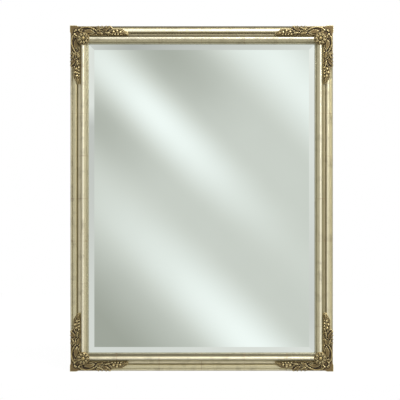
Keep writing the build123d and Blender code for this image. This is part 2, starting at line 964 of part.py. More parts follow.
def mirror_clips():
    """Offset clips: a pad on the moulding's back, a step down and a tongue over the inner mirror."""
    with BuildPart() as clips:
        for x, z, dx, dz in clip_frames():
            section = Plane(origin=(x, door_back, z), x_dir=(dx, 0, dz), z_dir=(dz, 0, -dx))
            pad_start = rebate_edge - clip_pad
            step = rebate_edge + clip_wall_gap
            tongue = inner_mirror_back
            # local y points to the front or to the back with the direction of the section plane
            forward = -1 if section.y_dir.Y > 0 else 1
            with BuildSketch(section):
                with BuildLine():
                    Polyline(
                        (pad_start, 0),
                        (pad_start, -forward * clip_thickness),
                        (step + clip_thickness, -forward * clip_thickness),
                        (step + clip_thickness, forward * (tongue - clip_thickness)),
                        (step + clip_tongue, forward * (tongue - clip_thickness)),
                        (step + clip_tongue, forward * tongue),
                        (step, forward * tongue),
                        (step, 0),
                        close=True,
                    )
                make_face()
            extrude(amount=clip_width / 2, both=True)
        with Locations(*clip_screw_locations()):
            Cylinder(screw_diameter / 2 + screw_fit / 2, 4 * clip_thickness, mode=Mode.SUBTRACT)
    return clips


# Catch
def catch_screw_places():
    """The catch's screws, as depth and height on the right wall."""
    y = catch_front + catch_screw_depth
    return [(y, catch_height + k * catch_screw_spacing / 2) for k in (-1, 1)]


def catch_parts_width():
    """The width of the magnet with a pole plate on each side."""
    return magnet_thickness + 2 * pole_thickness


def catch_housing():
    """The moulded housing, with a pocket for the magnet and its pole plates."""
    half = catch_parts_width() / 2
    with BuildPart() as housing:
        low = (inner_x - catch_width, catch_front, catch_height - catch_length / 2)
        high = (inner_x, catch_front + catch_body_depth, catch_height + catch_length / 2)
        block(low, high)
        chamfer(housing.edges().filter_by(Axis.Y).group_by(Axis.X)[0], length=catch_edge)
        block((catch_x - half, catch_front - 1, catch_height - magnet_height / 2),
              (catch_x + half, catch_front + magnet_depth, catch_height + magnet_height / 2), Mode.SUBTRACT)
        with BuildSketch(Plane.YZ.offset(inner_x)):
            with Locations(*catch_screw_places()):
                Circle(screw_diameter / 2 + screw_fit / 2)
        extrude(amount=-catch_width, mode=Mode.SUBTRACT)
    return housing


def catch_magnet():
    """The ceramic magnet between the pole plates."""
    half = magnet_thickness / 2
    with BuildPart() as magnet:
        block((catch_x - half, catch_front + magnet_recess, catch_height - magnet_height / 2),
              (catch_x + half, catch_front + magnet_depth, catch_height + magnet_height / 2))
    return magnet


def pole_plates():
    """The steel plates that carry the pull to the strike; their tips stand out of the housing."""
    tip = strike_back + strike_air
    with BuildPart() as plates:
        for side in (-1, 1):
            near = catch_x + side * magnet_thickness / 2
            block((near, tip, catch_height - magnet_height / 2),
                  (near + side * pole_thickness, catch_front + magnet_depth,
                   catch_height + magnet_height / 2))
    return plates


def catch_screws():
    """The screws that hold the catch to the right wall."""
    screw = pan_screw(catch_screw_length)
    places = [Location((inner_x - catch_width, y, z), (0, -90, 0)) for y, z in catch_screw_places()]
    return group_of(screw, places)


def strike_screw_locations():
    """Where the strike plate's screws start, on its rear face."""
    x = inner_x - strike_edge_gap - strike_screw_inset
    heights = [catch_height + k * strike_screw_spacing / 2 for k in (-1, 1)]
    return [Location((x, strike_back, z), (-90, 0, 0)) for z in heights]


def strike_plate():
    """The steel plate on the door that the magnet holds; it also laps the inner mirror."""
    outer = inner_x - strike_edge_gap
    screw = countersunk_screw(screw_length)
    with BuildPart() as plate:
        block((outer - strike_width, door_back, catch_height - strike_length / 2),
              (outer, strike_back, catch_height + strike_length / 2))
        fillet(plate.edges().filter_by(Axis.Y), radius=strike_thickness)
        with Locations(*strike_screw_locations()):
            add(screw.part, mode=Mode.SUBTRACT)
            Cylinder(screw_head_diameter / 2, 2 * slot_depth, mode=Mode.SUBTRACT)
    return plate


def bumpers():
    """Rubber bumpers stuck to the flange on the free side of the door."""
    thickness = door_gap - bumper_air
    x = half_case_x + flange_reach / 2
    with BuildPart() as pads:
        for end in (-1, 1):
            with BuildSketch(Plane.XZ.offset(flange_thickness)):
                with Locations((x, end * bumper_height)):
                    Circle(bumper_diameter / 2)
            extrude(amount=thickness)
        fillet(pads.edges().group_by(Axis.Y)[0], radius=bumper_dome)
    return pads


os.makedirs("parts", exist_ok=True)

left_stile = stile(-1)
right_stile = stile(1)
top_rail = end_rail(1)
bottom_rail = end_rail(-1)
ornament_top_left = corner_ornament(plain_stile(-1), plain_rail(1))
lower_shelf_at, middle_shelf_at, upper_shelf_at = shelf_undersides()

case_pieces = {
    "left_side_panel": side_panel(-1),
    "right_side_panel": side_panel(1),
    "top_panel": end_panel(1),
    "bottom_panel": end_panel(-1),
    "back_panel": back_panel(),
    "back_rivets": back_rivets(),
    "corner_rivets": corner_rivets(),
    "lower_shelf": shelf(lower_shelf_at),
    "middle_shelf": shelf(middle_shelf_at),
    "upper_shelf": shelf(upper_shelf_at),
    "left_shelf_pegs": shelf_pegs(-1),
    "right_shelf_pegs": shelf_pegs(1),
    "hinge_case_leaf": case_leaf(),
    "hinge_pin": hinge_pin(),
    "hinge_rivets": group_of(hinge_rivet(), hinge_rivet_locations()),
    "catch_housing": catch_housing(),
    "catch_magnet": catch_magnet(),
    "catch_pole_plates": pole_plates(),
    "catch_screws": catch_screws(),
    "door_bumpers": bumpers(),
}
door_pieces = {
    "left_stile": left_stile,
    "right_stile": right_stile,
    "top_rail": top_rail,
    "bottom_rail": bottom_rail,
    "ornament_top_left": ornament_top_left,
    "ornament_top_right": mirrored(ornament_top_left, Plane.YZ),
    "ornament_bottom_left": mirrored(ornament_top_left, Plane.XY),
    "ornament_bottom_right": mirrored(ornament_top_left, Plane.YZ, Plane.XY),
    "bevelled_mirror": bevelled_mirror(),
    "mirror_tape": foam_tape(),
    "backing_board": flat_sheet(board_back, board_thickness),
    "inner_mirror": flat_sheet(inner_mirror_back, inner_mirror_thickness),
    "mirror_clips": mirror_clips(),
    "clip_screws": group_of(pan_screw(screw_length), clip_screw_locations()),
    "corner_braces": corner_braces(),
    "brace_screws": group_of(countersunk_screw(screw_length), brace_screw_locations()),
    "hinge_door_leaf": door_leaf(),
    "hinge_screws": group_of(countersunk_screw(screw_length), hinge_screw_locations()),
    "strike_plate": strike_plate(),
    "strike_screws": group_of(countersunk_screw(screw_length), strike_screw_locations()),
}
for name, piece in {**case_pieces, **door_pieces}.items():
    keep(piece, name)
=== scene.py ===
# %% [markdown]
# # A recessed medicine cabinet with a framed mirror door
# The real cabinet is a folded steel box that sits in a hole in the wall. All that shows from the room is
# its door: a gilded wooden moulding, four cast corner ornaments and a mirror with a wide bevel.
# The measured model is loaded first and stays as it is. This lesson gives every piece its finish,
# models the cast foliage of the corners, and sets up a plain bright studio.

# %% Load the measured model
import bpy
import math
import numpy as np
from mathutils import Matrix, Vector


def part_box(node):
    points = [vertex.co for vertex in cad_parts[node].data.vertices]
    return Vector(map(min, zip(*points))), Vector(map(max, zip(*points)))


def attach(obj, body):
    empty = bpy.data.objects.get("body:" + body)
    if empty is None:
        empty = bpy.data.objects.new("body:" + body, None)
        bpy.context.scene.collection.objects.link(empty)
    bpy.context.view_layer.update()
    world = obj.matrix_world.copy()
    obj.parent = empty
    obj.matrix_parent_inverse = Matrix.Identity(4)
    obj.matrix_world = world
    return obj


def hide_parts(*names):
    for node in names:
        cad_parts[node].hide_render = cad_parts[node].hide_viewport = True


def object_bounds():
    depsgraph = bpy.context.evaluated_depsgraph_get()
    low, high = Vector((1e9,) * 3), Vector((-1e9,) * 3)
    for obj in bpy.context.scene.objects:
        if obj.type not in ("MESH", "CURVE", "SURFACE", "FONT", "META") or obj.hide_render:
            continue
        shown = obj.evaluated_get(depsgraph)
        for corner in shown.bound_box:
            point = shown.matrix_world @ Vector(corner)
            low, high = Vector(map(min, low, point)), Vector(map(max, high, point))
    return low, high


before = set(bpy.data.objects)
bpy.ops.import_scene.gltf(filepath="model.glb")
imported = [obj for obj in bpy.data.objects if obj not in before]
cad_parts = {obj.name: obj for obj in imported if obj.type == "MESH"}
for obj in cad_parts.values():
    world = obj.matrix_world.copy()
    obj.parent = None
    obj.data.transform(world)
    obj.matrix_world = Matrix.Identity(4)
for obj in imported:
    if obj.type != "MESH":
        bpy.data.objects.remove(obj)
cad_box = [list(corner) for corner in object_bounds()]
print("model box in metres", cad_box)

# %% Sizes read from the model
MM = 0.001
stile_low, stile_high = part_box("left_stile")
HALF_WIDTH = -stile_low.x
HALF_HEIGHT = stile_high.z
DOOR_BACK = stile_high.y
RAIL_FACE = stile_high.x - stile_low.x
RAIL_DEPTH = stile_high.y - stile_low.y
print("door", round(HALF_WIDTH * 2 / MM, 1), "by", round(HALF_HEIGHT * 2 / MM, 1), "mm")
print("moulding", round(RAIL_FACE / MM, 1), "mm wide and", round(RAIL_DEPTH / MM, 1), "mm deep")

# %% [markdown]
# ## Writing a finish as sums
# A finish is worked out by shader nodes. They could be placed and linked one by one, but that is long to
# write and hard to read. Wrapping a node's socket in a small class lets the maths be written as ordinary
# sums, such as `1 - wash * 0.5`, and each sum adds its own Math node behind the scenes.

# %% A socket that can be added and multiplied
class Wire:
    """The output of a node; a sum with it adds a Math node to the same tree."""

    def __init__(self, bench, socket):
        self.bench = bench
        self.socket = socket

    def sum(self, operation, first, second=0.0, clamp=False):
        settings = {"operation": operation, "use_clamp": clamp}
        made = self.bench.node("ShaderNodeMath", settings, [first, second])
        return Wire(self.bench, made.outputs[0])

    def __add__(self, other):
        return self.sum("ADD", self, other)

    def __radd__(self, other):
        return self.sum("ADD", other, self)

    def __sub__(self, other):
        return self.sum("SUBTRACT", self, other)

    def __rsub__(self, other):
        return self.sum("SUBTRACT", other, self)

    def __mul__(self, other):
        return self.sum("MULTIPLY", self, other)

    def __rmul__(self, other):
        return self.sum("MULTIPLY", other, self)

    def __truediv__(self, other):
        return self.sum("DIVIDE", self, other)

    def size(self):
        """The amount without its sign."""
        return self.sum("ABSOLUTE", self)

    def fraction(self):
        """What is left over past a whole number."""
        return self.sum("FRACT", self)

    def limited(self):
        """The amount, kept between 0 and 1."""
        return self.sum("ADD", self, 0.0, clamp=True)


class Workbench:
    """A tree of nodes to build in; spot is the place or direction that its patterns follow."""

    def __init__(self, owner, output_kind, spot_kind):
        owner.use_nodes = True
        self.tree = owner.node_tree
        self.tree.nodes.clear()
        self.output = self.tree.nodes.new(output_kind)
        self.spot = Wire(self, self.node("ShaderNodeTexCoord").outputs[spot_kind])

    def show(self, made):
        """Send a shader node to the output."""
        self.tree.links.new(made.outputs[0], self.output.inputs[0])

    def node(self, kind, settings=None, values=None):
        """Add a node: its settings are set first, then each socket gets a value or a link."""
        made = self.tree.nodes.new(kind)
        for key, value in (settings or {}).items():
            setattr(made, key, value)
        pairs = values.items() if isinstance(values, dict) else enumerate(values or [])
        for key, value in pairs:
            if isinstance(value, Wire):
                self.tree.links.new(value.socket, made.inputs[key])
            else:
                made.inputs[key].default_value = value
        return made

    def axes(self):
        """The three distances along X, Y and Z, in metres."""
        apart = self.node("ShaderNodeSeparateXYZ", {}, [self.spot])
        return [Wire(self, socket) for socket in apart.outputs]

    def stretched(self, x, y, z):
        """The place on the object, scaled apart along each axis."""
        made = self.node("ShaderNodeVectorMath", {"operation": "MULTIPLY"}, [self.spot, (x, y, z)])
        return Wire(self, made.outputs[0])

    def noise(self, scale, detail, place=None):
        """A cloudy pattern from 0 to 1; a larger scale makes it finer."""
        made = self.node("ShaderNodeTexNoise", {}, {
            "Vector": place or self.spot, "Scale": scale, "Detail": detail, "Roughness": 0.55})
        return Wire(self, made.outputs["Fac"])

    def ramp(self, amount, stops):
        """Turn an amount from 0 to 1 into a colour by stops of place and colour."""
        made = self.node("ShaderNodeValToRGB", {}, [amount])
        elements = made.color_ramp.elements
        while len(elements) < len(stops):
            elements.new(0.5)
        for element, (place, colour) in zip(elements, stops):
            element.position = place
            element.color = (*colour, 1.0)
        return Wire(self, made.outputs[0])

    def between(self, low, high, amount, kind="LINEAR"):
        """Spread an amount so that low becomes 0 and high becomes 1."""
        made = self.node("ShaderNodeMapRange", {"interpolation_type": kind},
                         {"Value": amount, "From Min": low, "From Max": high})
        return Wire(self, made.outputs[0])

    def hump(self, amount, middle, reach):
        """A soft hill: 1 at the middle and 0 beyond its reach on both sides."""
        return 1 - self.between(0.0, reach, (amount - middle).size(), "SMOOTHSTEP")

    def blend(self, amount, first, second):
        """Mix two colours; the Mix node takes colours in its sockets 6 and 7 and gives one in its third."""
        pair = [colour if isinstance(colour, Wire) else (*colour, 1.0) for colour in (first, second)]
        made = self.node("ShaderNodeMix", {"data_type": "RGBA"}, {0: amount, 6: pair[0], 7: pair[1]})
        return Wire(self, made.outputs[2])

    def rays(self, *kinds):
        """1 for rays of the named kinds and 0 for all others."""
        path = self.node("ShaderNodeLightPath")
        return sum(Wire(self, path.outputs[kind]) for kind in kinds).limited()


class Finish(Workbench):
    """One material, with its shader."""

    def __init__(self, name, **shader_values):
        self.material = bpy.data.materials.new(name)
        super().__init__(self.material, "ShaderNodeOutputMaterial", "Object")
        values = {key.replace("_", " ").title().replace("Ior", "IOR"): value
                  for key, value in shader_values.items()}
        self.shader = self.node("ShaderNodeBsdfPrincipled", {}, values)
        self.show(self.shader)

    def give(self, name, wire):
        """Link a wire to a socket of the shader."""
        self.tree.links.new(wire.socket, self.shader.inputs[name])

    def bump(self, height, distance, strength):
        """Let light fall as if a pattern stood out of the surface by this distance in metres."""
        made = self.node("ShaderNodeBump", {}, {"Height": height, "Distance": distance, "Strength": strength})
        self.give("Normal", Wire(self, made.outputs[0]))


def tone(red, green, blue):
    """A colour given as on a screen, 0 to 255, as the linear colour that a shader uses."""
    shares = [level / 255 for level in (red, green, blue)]
    return tuple(share / 12.92 if share < 0.0405 else ((share + 0.055) / 1.055) ** 2.4 for share in shares)


print("a mid grey of 128 is", round(tone(128, 128, 128)[0], 3), "in the shader")

# %% [markdown]
# ## Gilded moulding
# Thin silver-gold leaf is laid on the wood, rubbed through a little where two leaves lap, and toned with a
# dark glaze that stays in the hollows. The colours could be painted on a flat picture of each moulding, which
# blurs close by. Worked out from the distance to the door's outer side, they follow the section sharply.
# Stiles measure that distance along X and rails along Z. The colours across the section hold painted
# highlights on the torus and the crest. Each moulding also has a few lines of its own: painted shade, with
# some real glaze in the hollows, and painted highlights, set where the light falls differently on each side.
# The back of the frame is bare wood.

# %% Colours across the moulding, with painted highlights and shade, by the distance in from the outer side in millimetres
# The bright stops on the torus and at 24.6 to 26.4 mm on the crest are painted highlights. The darker stops
# at the edge, in the groove and at the sight quirk are partly glaze and wear, partly painted shade.
moulding_colours_and_painted_light = [
    (0.0, tone(150, 140, 106)), (2.2, tone(190, 182, 146)), (5.0, tone(206, 198, 162)),
    (8.6, tone(218, 210, 172)), (11.4, tone(214, 205, 166)), (12.4, tone(176, 164, 122)),
    (14.6, tone(152, 138, 96)), (15.6, tone(182, 170, 130)), (17.6, tone(204, 192, 152)),
    (20.0, tone(172, 162, 124)), (22.4, tone(176, 167, 132)), (24.6, tone(250, 244, 216)),
    (26.4, tone(246, 238, 208)), (28.6, tone(206, 197, 162)), (31.6, tone(200, 191, 156)),
    (33.0, tone(150, 140, 106)), (33.9, tone(200, 195, 166)), (35.5, tone(176, 171, 144)),
]


# %% Gold leaf under a glaze
LEAF_LENGTH = 82 * MM


def soft_lines(leaf, depth, lines):
    """Soft lines along a moulding, each by its middle, its reach to both sides and its strength."""
    return sum(leaf.hump(depth, middle, reach) * strength for middle, reach, strength in lines).limited()


def gilded_leaf(name, axis, half_size, glaze_and_shade_lines, painted_highlight_lines):
    """Metal leaf with lines of glaze and painted shade, and lines of painted highlight, by their millimetres
    from the outer side.
    """
    leaf = Finish(name)
    x, y, z = leaf.axes()
    across, along = (x, z) if axis == "x" else (z, x)
    inward = (half_size - across.size()) / RAIL_FACE
    wander = (leaf.noise(38.0, 2.0) - 0.5) * 0.02
    stops = [(place * MM / RAIL_FACE, shade) for place, shade in moulding_colours_and_painted_light]
    colour = leaf.ramp((inward + wander).limited(), stops)
    depth = inward * (RAIL_FACE / MM)
    # Glaze lines darken towards a glaze brown, partly real glaze and partly painted shade. Highlight lines
    # lighten towards a near-white gold, which is painted highlight.
    glaze = soft_lines(leaf, depth, glaze_and_shade_lines)
    with_painted_highlights = leaf.blend(soft_lines(leaf, depth, painted_highlight_lines), colour, tone(254, 247, 218))
    lined = leaf.blend(glaze, with_painted_highlights, tone(58, 50, 27))
    streak_scale = (900.0, 900.0, 40.0) if axis == "x" else (40.0, 900.0, 900.0)
    streaks = leaf.noise(1.0, 4.0, leaf.stretched(*streak_scale))
    blotches = leaf.noise(46.0, 4.0)
    specks = leaf.noise(1500.0, 2.0)
    dark = leaf.between(0.52, 0.78, blotches) * 0.42 + leaf.between(0.58, 0.80, streaks) * 0.30
    dirt = (dark + leaf.between(0.64, 0.72, specks) * 0.35).limited()
    lap = ((along / LEAF_LENGTH).fraction() - 0.5).size()
    worn = leaf.between(0.488, 0.5, lap) * leaf.between(0.40, 0.60, blotches) * 0.5
    gilded = leaf.blend(worn.limited(), leaf.blend(dirt, lined, tone(98, 84, 52)), tone(136, 96, 60))
    wood = leaf.blend(leaf.between(0.36, 0.64, streaks), tone(200, 170, 126), tone(168, 134, 90))
    bare = leaf.between(DOOR_BACK - 0.6 * MM, DOOR_BACK - 0.2 * MM, y)
    leaf.give("Base Color", leaf.blend(bare, gilded, wood))
    leaf.give("Roughness", (0.26 + dark * 0.42 + specks * 0.12 + glaze * 0.2 + bare * 0.3).limited())
    leaf.give("Metallic", ((0.66 - dark * 0.45 - glaze * 0.45) * (1 - bare)).limited())
    leaf.bump(blotches * 0.6 + streaks * 0.3 + specks * 0.25, 0.35 * MM, 0.55)
    return leaf.material


# %% Gild the four mouldings
# Each moulding lists its glaze and painted shade lines, then its painted highlight lines, each as middle and
# reach in millimetres and a strength. They differ by side with the light.
mouldings = (
    ("left_stile", "x", HALF_WIDTH,
     [(30.0, 4.0, 0.08), (12.2, 1.8, 0.2)],
     [(2.8, 1.8, 0.4), (19.4, 5.0, 0.6)]),
    ("right_stile", "x", HALF_WIDTH,
     [(1.4, 2.4, 0.25), (8.2, 1.8, 0.25), (17.6, 5.0, 0.55)],
     [(4.8, 1.6, 0.5), (11.8, 2.4, 0.9)]),
    ("top_rail", "z", HALF_HEIGHT,
     [(2.0, 3.8, 1.0), (15.2, 2.8, 0.45), (19.6, 5.6, 0.88)],
     [(5.6, 2.4, 0.7), (9.6, 4.4, 0.9)]),
    ("bottom_rail", "z", HALF_HEIGHT,
     [(31.6, 4.6, 0.92), (24.2, 2.8, 0.6)],
     [(3.6, 2.4, 0.5), (17.6, 5.0, 0.35)]),
)
finishes = {}
for node, axis, half_size, glaze_and_shade_lines, painted_highlight_lines in mouldings:
    finishes[node] = gilded_leaf("gilded_" + node, axis, half_size, glaze_and_shade_lines, painted_highlight_lines)
print("gilded", len(finishes), "mouldings")

# %% [markdown]
# ## Mirror glass
# A mirror is clear glass with a silver coat behind it. It could be made as two layers, but seen from the
# front it acts as one bright metal surface, a little green from the glass, so one layer is enough. Its bevel
# needs no trick: the ground face is really tilted in the mesh, so it picks up another part of the room.

# %% Silvered glass
def silvered_glass(name, tint):
    glass = Finish(name, metallic=1.0)
    haze = glass.noise(6.0, 3.0)
    veil = glass.between(0.35, 0.7, haze) * 0.25
    glass.give("Base Color", glass.blend(veil, tint, tone(237, 244, 236)))
    glass.give("Roughness", 0.008 + glass.between(0.5, 0.85, haze) * 0.02)
    return glass.material


finishes["bevelled_mirror"] = silvered_glass("front_mirror", tone(244, 250, 243))
finishes["inner_mirror"] = silvered_glass("inside_mirror", tone(238, 242, 238))
print("two mirrors silvered")

# %% [markdown]
# ## Steel, glass and hardware
# The case is white powder coat with its slight orange peel. The hinge is satin nickel, brushed along its
# length. Screws, clips and braces are bright zinc with a faint yellow and blue bloom. The shelves are clear
# glass, which looks green where light runs through its edges. One function makes all three metals and
# another all the dull materials, because they differ only in their tones, their grain and their gloss.

# %% White powder coat
def powder_coat(name):
    coat = Finish(name, coat_weight=0.15)
    peel = coat.noise(900.0, 2.0)
    cloud = coat.noise(9.0, 3.0)
    shade = coat.between(0.3, 0.75, cloud) * 0.5
    coat.give("Base Color", coat.blend(shade, tone(225, 226, 223), tone(212, 214, 212)))
    coat.give("Roughness", 0.36 + cloud * 0.14)
    coat.bump(peel, 0.2 * MM, 0.4)
    return coat.material


white_coat = powder_coat("white_powder_coat")
for node in ("left_side_panel", "right_side_panel", "top_panel", "bottom_panel", "back_panel"):
    finishes[node] = white_coat
print("five coated panels")


# %% Plated and bare metals
def worked_metal(name, light, dark, scale, rough, grain=(1.0, 1.0, 1.0)):
    """A metal with fine marks at one scale; grain stretches them along an axis."""
    metal = Finish(name, metallic=1.0)
    brushing = metal.noise(scale, 3.0, metal.stretched(*grain))
    bloom = metal.noise(70.0, 2.0)
    metal.give("Base Color", metal.blend((brushing * 0.6 + bloom * 0.5).limited(), light, dark))
    metal.give("Roughness", (rough - 0.08 + brushing * 0.18).limited())
    metal.bump(brushing, 0.08 * MM, 0.35)
    return metal.material


BRUSHED_UPRIGHT = (1500.0, 1500.0, 30.0)
nickel = worked_metal("satin_nickel", tone(216, 211, 200), tone(176, 170, 158), 1.0, 0.3, BRUSHED_UPRIGHT)
zinc = worked_metal("bright_zinc", tone(204, 208, 214), tone(178, 176, 160), 420.0, 0.28)
aluminium = worked_metal("rivet_aluminium", tone(222, 223, 226), tone(186, 187, 190), 700.0, 0.26)
for node in ("left_shelf_pegs", "right_shelf_pegs", "hinge_case_leaf", "hinge_door_leaf", "hinge_pin"):
    finishes[node] = nickel
for node in ("mirror_clips", "clip_screws", "corner_braces", "brace_screws", "hinge_screws", "strike_plate",
             "strike_screws", "catch_screws", "catch_pole_plates"):
    finishes[node] = zinc
for node in ("back_rivets", "corner_rivets", "hinge_rivets"):
    finishes[node] = aluminium
print("metals for", sum(value in (nickel, zinc, aluminium) for value in finishes.values()), "nodes")


# %% Shelf glass
def float_glass(name):
    glass = Finish(name, transmission_weight=1.0, ior=1.52)
    smear = glass.noise(14.0, 3.0)
    veil = glass.between(0.4, 0.7, smear) * 0.3
    glass.give("Base Color", glass.blend(veil, tone(228, 244, 238), tone(216, 238, 230)))
    glass.give("Roughness", 0.004 + glass.between(0.55, 0.85, smear) * 0.03)
    return glass.material


shelf_glass = float_glass("green_edged_glass")
for node in ("lower_shelf", "middle_shelf", "upper_shelf"):
    finishes[node] = shelf_glass
print("three glass shelves")


# %% Board, foam, plastic, rubber and ferrite
def plain_stuff(name, light, dark, scale, rough, depth, stretch=(1.0, 1.0, 1.0)):
    """A dull material whose colour and surface vary at one scale."""
    stuff = Finish(name)
    fine = stuff.noise(scale, 4.0, stuff.stretched(*stretch))
    broad = stuff.noise(scale / 12, 2.0)
    stuff.give("Base Color", stuff.blend((fine * 0.7 + broad * 0.4).limited(), light, dark))
    stuff.give("Roughness", (rough - 0.1 + fine * 0.2).limited())
    stuff.bump(fine, depth, 0.5)
    return stuff.material


finishes["backing_board"] = plain_stuff(
    "hardboard", tone(150, 116, 82), tone(104, 74, 48), 500.0, 0.7, 0.3 * MM, (1.0, 1.0, 3.0))
finishes["mirror_tape"] = plain_stuff(
    "foam_tape", tone(236, 236, 230), tone(206, 206, 198), 1400.0, 0.85, 0.3 * MM)
finishes["catch_housing"] = plain_stuff(
    "moulded_plastic", tone(232, 232, 226), tone(214, 214, 208), 900.0, 0.42, 0.06 * MM)
finishes["catch_magnet"] = plain_stuff(
    "ferrite", tone(70, 70, 70), tone(34, 34, 35), 1100.0, 0.6, 0.1 * MM)
finishes["door_bumpers"] = plain_stuff(
    "bumper_rubber", tone(66, 66, 64), tone(40, 40, 40), 800.0, 0.8, 0.1 * MM)
print("soft and dull pieces finished")

# %% Lay each finish on its node
for node, finish in finishes.items():
    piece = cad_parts[node]
    if not piece.material_slots:
        piece.data.materials.append(finish)
    for slot in piece.material_slots:
        slot.material = finish
print("finishes laid on", len(finishes), "nodes")

# %% [markdown]
# ## Cast corner ornaments
# Such ornaments are pressed or cast in one piece from composition: a thin plate with scrolls, leaves, berries
# and small flowers, and a shell on the mitre. They could be displaced from a drawing of heights, but then
# every form would be a soft hill with no undercut. Here each leaf, berry and scroll is shaped by itself, laid
# on the measured plate, and fused with it by a voxel remesh, which rounds the joins as a worn mould does.
# Places are in millimetres along the arm and across it from the outer edge, at the top left corner.

# %% Small helpers for shaping
def fresh(operator, **settings):
    """Deselect everything, add a primitive and hand it back."""
    bpy.ops.object.select_all(action="DESELECT")
    operator(**settings)
    return bpy.context.view_layer.objects.active


def settle(piece):
    """Put the place, turn and size of a piece into its mesh."""
    bpy.ops.object.select_all(action="DESELECT")
    piece.select_set(True)
    bpy.context.view_layer.objects.active = piece
    bpy.ops.object.transform_apply(location=True, rotation=True, scale=True)
    return piece


def pick(piece, rule):
    """In edit mode, select the points whose own place fits a rule."""
    bpy.ops.object.mode_set(mode="EDIT")
    bpy.ops.mesh.select_mode(type="VERT")
    bpy.ops.mesh.select_all(action="DESELECT")
    bpy.ops.object.mode_set(mode="OBJECT")
    for point in piece.data.vertices:
        point.select = rule(point.co)
    bpy.ops.object.mode_set(mode="EDIT")


def corner_spot(along, across, height):
    """A place on the top left corner: along the top arm, in from the outer edge, and off the door's back."""
    return Vector((-HALF_WIDTH + along * MM, DOOR_BACK - height * MM, HALF_HEIGHT - across * MM))


PLATE = 16.2
ROOT = 0.4
print("the plate's face is", PLATE, "mm off the back of the door; leaves are rooted", ROOT, "mm in it")


# %% One carved leaf
def carved_leaf(along, across, length, width, turn, rise, groove=0.45):
    """A pointed leaf with a sunk midrib; turn is in degrees from the arm towards the glass."""
    leaf = fresh(bpy.ops.mesh.primitive_uv_sphere_add, segments=16, ring_count=12, radius=1.0)
    # Both tips are drawn in, and then the midrib is pushed in from the front.
    pick(leaf, lambda p: abs(p.z) > 0.62)
    bpy.ops.transform.resize(value=(0.52, 0.8, 1.0))
    pick(leaf, lambda p: abs(p.x) < 0.12 and p.y < 0 and abs(p.z) < 0.95)
    bpy.ops.transform.translate(value=(0.0, groove, 0.0))
    bpy.ops.object.mode_set(mode="OBJECT")
    leaf.scale = (width / 2 * MM, rise * MM, length / 2 * MM)
    leaf.rotation_euler = (0.0, math.radians(90 + turn), 0.0)
    leaf.location = corner_spot(along, across, PLATE - ROOT)
    return settle(leaf)


# %% A leaf of three lobes, as carved foliage has
LOBE_ANGLE = 38


def lobed_leaf(along, across, length, width, turn, rise, groove=0.45):
    """One long blade with a shorter lobe on each side of its foot."""
    made = [carved_leaf(along, across, length, width * 0.62, turn, rise, groove)]
    blade = math.radians(turn)
    foot_along = along - 0.16 * length * math.cos(blade)
    foot_across = across - 0.16 * length * math.sin(blade)
    reach = 0.27 * length
    for lobe_turn in (turn - LOBE_ANGLE, turn + LOBE_ANGLE):
        lean = math.radians(lobe_turn)
        made.append(carved_leaf(foot_along + reach * math.cos(lean), foot_across + reach * math.sin(lean),
                                0.52 * length, width * 0.44, lobe_turn, rise * 0.8, groove))
    return made


# %% A berry, and a flower of five petals
def berry(along, across, radius, height=PLATE):
    """A small ball, drawn in a little at the front."""
    ball = fresh(bpy.ops.mesh.primitive_uv_sphere_add, segments=14, ring_count=10, radius=radius * MM,
                 location=corner_spot(along, across, height), rotation=(math.radians(90), 0.0, 0.0))
    pick(ball, lambda p: p.z > radius * 0.9 * MM)
    bpy.ops.transform.resize(value=(0.8, 0.8, 1.0))
    bpy.ops.object.mode_set(mode="OBJECT")
    return settle(ball)


def flower(along, across, radius):
    """Five round petals about a raised eye."""
    made = [berry(along, across, radius * 0.42, PLATE + 1.1)]
    for petal in range(5):
        angle = math.radians(90 + 72 * petal)
        petal_along = along + radius * 0.62 * math.cos(angle)
        petal_across = across + radius * 0.62 * math.sin(angle)
        made.append(berry(petal_along, petal_across, radius * 0.44, PLATE + 0.5))
    return made


# %% A rolled scroll
def scroll(thick, thin, points):
    """A tube on a smooth curve through places on the corner, tapering from its first radius to its last."""
    path = fresh(bpy.ops.curve.primitive_bezier_curve_add)
    path.data.bevel_depth = MM
    path.data.bevel_resolution = 4
    path.data.resolution_u = 10
    path.data.use_fill_caps = True
    spline = path.data.splines[0]
    spline.bezier_points.add(len(points) - len(spline.bezier_points))
    for place, (point, (along, across)) in enumerate(zip(spline.bezier_points, points)):
        point.co = corner_spot(along, across, PLATE + 0.3)
        point.handle_left_type = point.handle_right_type = "AUTO"
        share = place / (len(points) - 1)
        point.radius = thick + (thin - thick) * share
    bpy.ops.object.convert(target="MESH")
    return settle(bpy.context.view_layer.objects.active)


# %% Places of the foliage on one arm, in millimetres
# A scroll has its first and last radius and the places it runs through.
SCROLLS = (
    (1.7, 1.3, [(23.5, 11.6), (20.6, 12.4), (18.4, 10.0), (20.4, 6.2),
                (27.0, 3.6), (36.0, 3.4), (44.0, 5.6), (50.5, 9.6)]),
    (1.2, 0.7, [(50.0, 10.4), (57.0, 10.9), (65.0, 9.6), (72.0, 6.0)]),
    (0.9, 0.7, [(27.5, 12.4), (32.0, 16.6), (41.0, 17.2), (48.5, 13.0)]),
    (1.0, 0.6, [(78.5, 9.0), (86.0, 8.4), (94.0, 8.9), (101.0, 10.6), (108.0, 13.6), (112.0, 16.2)]),
)
